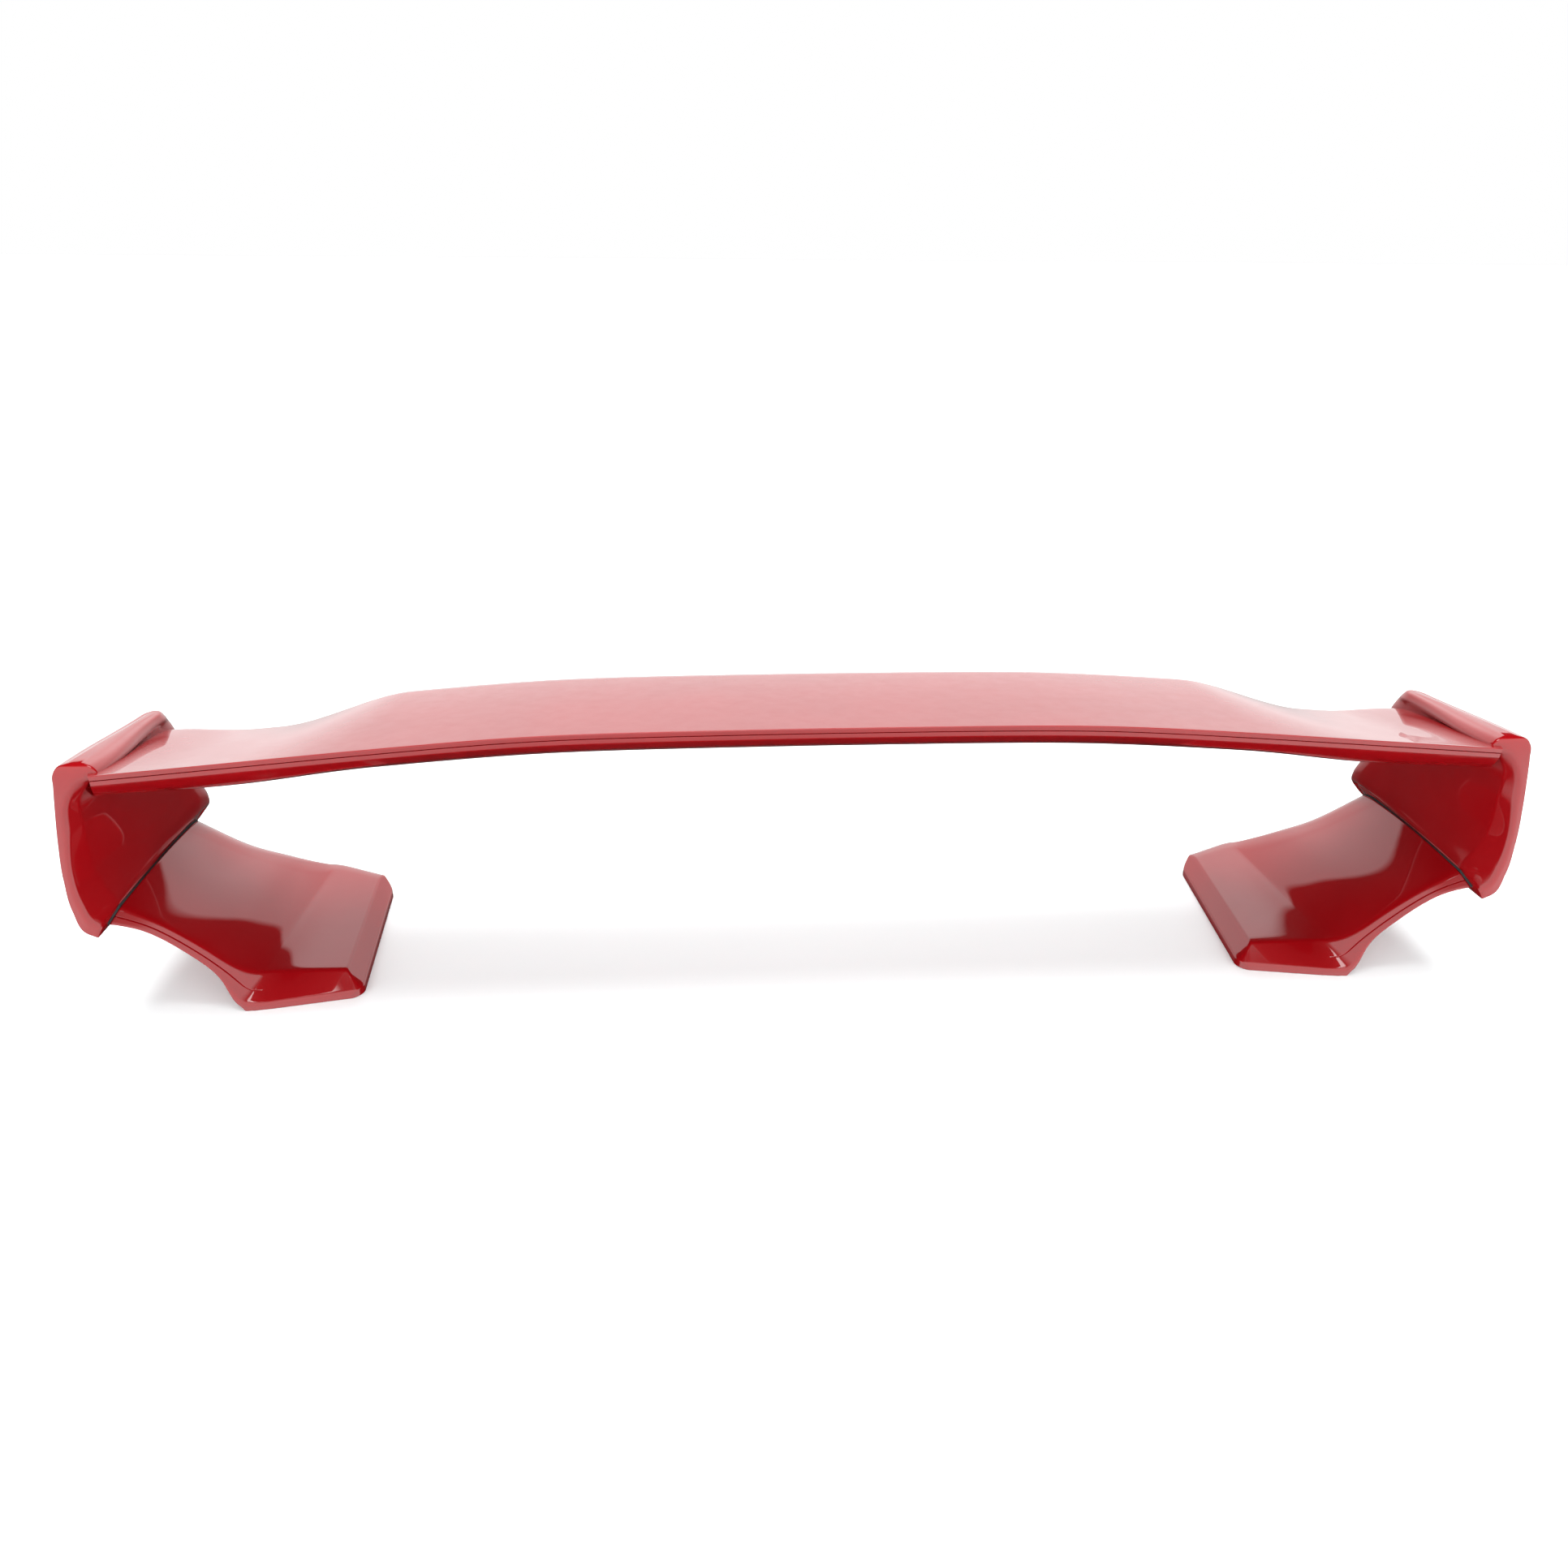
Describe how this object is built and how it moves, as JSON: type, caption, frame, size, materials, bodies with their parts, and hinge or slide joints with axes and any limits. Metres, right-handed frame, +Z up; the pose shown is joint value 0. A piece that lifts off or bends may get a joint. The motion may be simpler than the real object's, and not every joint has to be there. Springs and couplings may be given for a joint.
{
  "type": "racing rear wing",
  "caption": "Free-standing red rear wing: thin bowed blade between curved winglet end plates on splayed moulded legs with bevelled screw-down feet.",
  "frame": {"origin": "middle of the footprint, on the plane under both foot gaskets", "axes": "+X across the car to its right, +Y to the front of the car, +Z up"},
  "size_m": [1.3924, 0.2989, 0.3116],
  "materials": {
    "red_paint": "bright red paint under gloss clear coat",
    "aluminium_tube": "mill-finish extruded tube",
    "alloy_plate": "brushed plate",
    "black_rib": "matt moulded rib",
    "zinc_plated_steel": "zinc plated",
    "fastener_steel": "zinc-plated fasteners",
    "brass_insert": "turned",
    "black_rubber": "matt cellular rubber"
  },
  "bodies": {
    "root": {"blade_upper_skin": "red_paint", "blade_lower_skin": "red_paint", "blade_spar": "aluminium_tube", "blade_rib_centre": "black_rib", "blade_rib_inner_left": "black_rib", "blade_rib_outer_left": "black_rib", "blade_rib_inner_right": "black_rib", "blade_rib_outer_right": "black_rib", "spar_bracket_left": "zinc_plated_steel", "spar_bracket_bolts_left": "fastener_steel", "end_plate_left": "red_paint", "joint_stud_plate_left": "zinc_plated_steel", "joint_gasket_left": "black_rubber", "joint_nuts_left": "fastener_steel", "leg_left": "red_paint", "leg_stay_left": "zinc_plated_steel", "foot_plate_left": "alloy_plate", "foot_inserts_left": "brass_insert", "foot_screws_left": "fastener_steel", "foot_gasket_left": "black_rubber", "spar_bracket_right": "zinc_plated_steel", "spar_bracket_bolts_right": "fastener_steel", "end_plate_right": "red_paint", "joint_stud_plate_right": "zinc_plated_steel", "joint_gasket_right": "black_rubber", "joint_nuts_right": "fastener_steel", "leg_right": "red_paint", "leg_stay_right": "zinc_plated_steel", "foot_plate_right": "alloy_plate", "foot_inserts_right": "brass_insert", "foot_screws_right": "fastener_steel", "foot_gasket_right": "black_rubber"}
  },
  "joints": []
}
